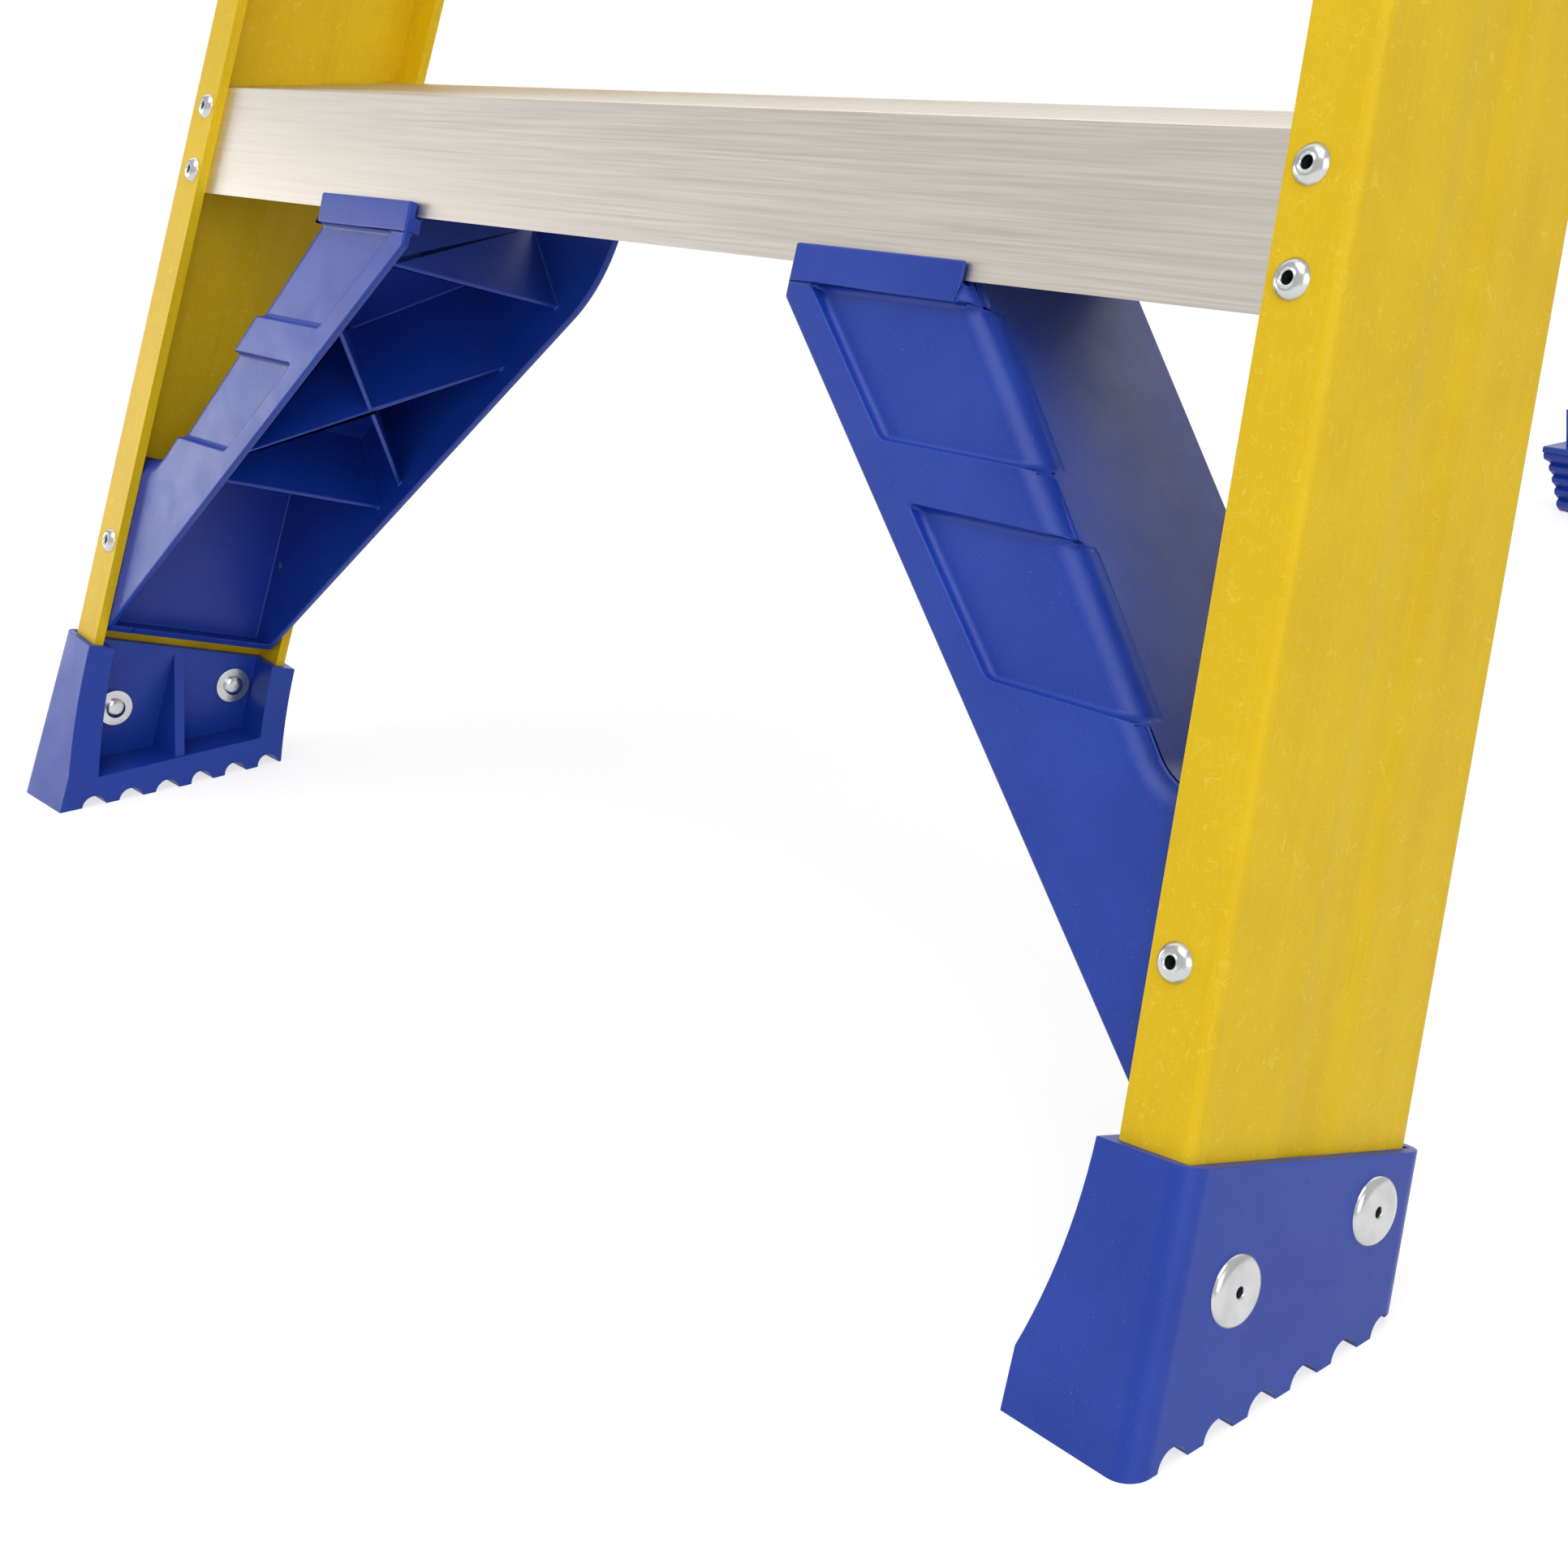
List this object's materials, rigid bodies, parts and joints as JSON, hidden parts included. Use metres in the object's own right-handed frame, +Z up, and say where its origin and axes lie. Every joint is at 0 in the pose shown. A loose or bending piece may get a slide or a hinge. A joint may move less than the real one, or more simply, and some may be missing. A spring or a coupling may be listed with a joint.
{
  "type": "step ladder",
  "caption": "Folding step ladder with fibreglass rails, ribbed aluminium treads, moulded braces and feet, a tool cap and folding spreaders.",
  "frame": {"origin": "on the floor, midway across the ladder and midway between the front edge of the front feet and the back edge of the rear feet", "axes": "+Z up, +X across the ladder, +Y from the treads towards the rear frame"},
  "size_m": [0.6324, 1.0921, 1.7539],
  "materials": {
    "bush_nylon": "matt",
    "extrusion": "mill",
    "fibreglass_orange": "satin, drawn",
    "fibreglass_yellow": "satin, drawn",
    "foot_blue": "matt",
    "moulding_blue": "fine grain",
    "plated_steel": "zinc plated",
    "rivet_steel": "bright plated",
    "sheet_aluminium": "mill"
  },
  "bodies": {
    "front_frame": {"front_rail_left": "fibreglass_yellow", "front_rail_right": "fibreglass_yellow", "step_1": "extrusion", "step_2": "extrusion", "step_3": "extrusion", "step_4": "extrusion", "step_5": "extrusion", "brace_left": "moulding_blue", "brace_right": "moulding_blue", "front_foot_left": "foot_blue", "front_foot_right": "foot_blue", "step_rivets_left": "rivet_steel", "step_rivets_right": "rivet_steel", "brace_rivets": "rivet_steel", "front_foot_rivets": "rivet_steel", "front_foot_washers": "rivet_steel", "top_cap": "moulding_blue", "cap_rivets": "rivet_steel", "hinge_pin_left": "rivet_steel", "hinge_pin_right": "rivet_steel", "hinge_washers": "rivet_steel", "spreader_bracket_left": "plated_steel", "spreader_bracket_right": "plated_steel", "bracket_rivets": "rivet_steel", "front_pivot_left": "rivet_steel", "front_pivot_right": "rivet_steel"},
    "rear_frame": {"rear_rail_left": "fibreglass_orange", "rear_rail_right": "fibreglass_orange", "rear_bar_1": "sheet_aluminium", "rear_bar_2": "sheet_aluminium", "rear_bar_3": "sheet_aluminium", "rear_bar_4": "sheet_aluminium", "gusset_left": "sheet_aluminium", "gusset_right": "sheet_aluminium", "rear_bar_rivets": "rivet_steel", "gusset_rivets": "rivet_steel", "rear_foot_left": "foot_blue", "rear_foot_right": "foot_blue", "rear_foot_rivets": "rivet_steel", "rear_foot_washers": "rivet_steel", "hinge_bushes": "bush_nylon", "rear_spacers": "rivet_steel", "rear_pivot_left": "rivet_steel", "rear_pivot_right": "rivet_steel"},
    "spreader_front_left": {"front_link_left": "plated_steel", "elbow_rivet_front_left": "rivet_steel"},
    "spreader_rear_left": {"rear_link_left": "plated_steel", "elbow_rivet_rear_left": "rivet_steel"},
    "spreader_front_right": {"front_link_right": "plated_steel", "elbow_rivet_front_right": "rivet_steel"},
    "spreader_rear_right": {"rear_link_right": "plated_steel", "elbow_rivet_rear_right": "rivet_steel"}
  },
  "joints": [
    {"name": "rear_fold", "type": "hinge", "parent": "front_frame", "child": "rear_frame", "pos_m": [0, 0.10237, 1.70894], "axis": [-1, 0, 0], "range_deg": [0, 29.7]},
    {"name": "spreader_front_left", "type": "hinge", "parent": "front_frame", "child": "spreader_front_left", "pos_m": [-0.1915, -0.1641, 0.90179], "axis": [1, 0, 0], "range_deg": [0, 71.8]},
    {"name": "spreader_rear_left", "type": "hinge", "parent": "rear_frame", "child": "spreader_rear_left", "pos_m": [-0.1882, 0.29725, 0.88158], "axis": [-1, 0, 0], "range_deg": [0, 71.8]},
    {"name": "spreader_front_right", "type": "hinge", "parent": "front_frame", "child": "spreader_front_right", "pos_m": [0.1915, -0.1641, 0.90179], "axis": [1, 0, 0], "range_deg": [0, 71.8]},
    {"name": "spreader_rear_right", "type": "hinge", "parent": "rear_frame", "child": "spreader_rear_right", "pos_m": [0.1882, 0.29725, 0.88158], "axis": [-1, 0, 0], "range_deg": [0, 71.8]}
  ],
  "couplings": [
    {"joint": "spreader_front_left", "follows": "rear_fold", "ratio": 2.417},
    {"joint": "spreader_rear_left", "follows": "rear_fold", "ratio": 2.417},
    {"joint": "spreader_front_right", "follows": "rear_fold", "ratio": 2.417},
    {"joint": "spreader_rear_right", "follows": "rear_fold", "ratio": 2.417}
  ]
}
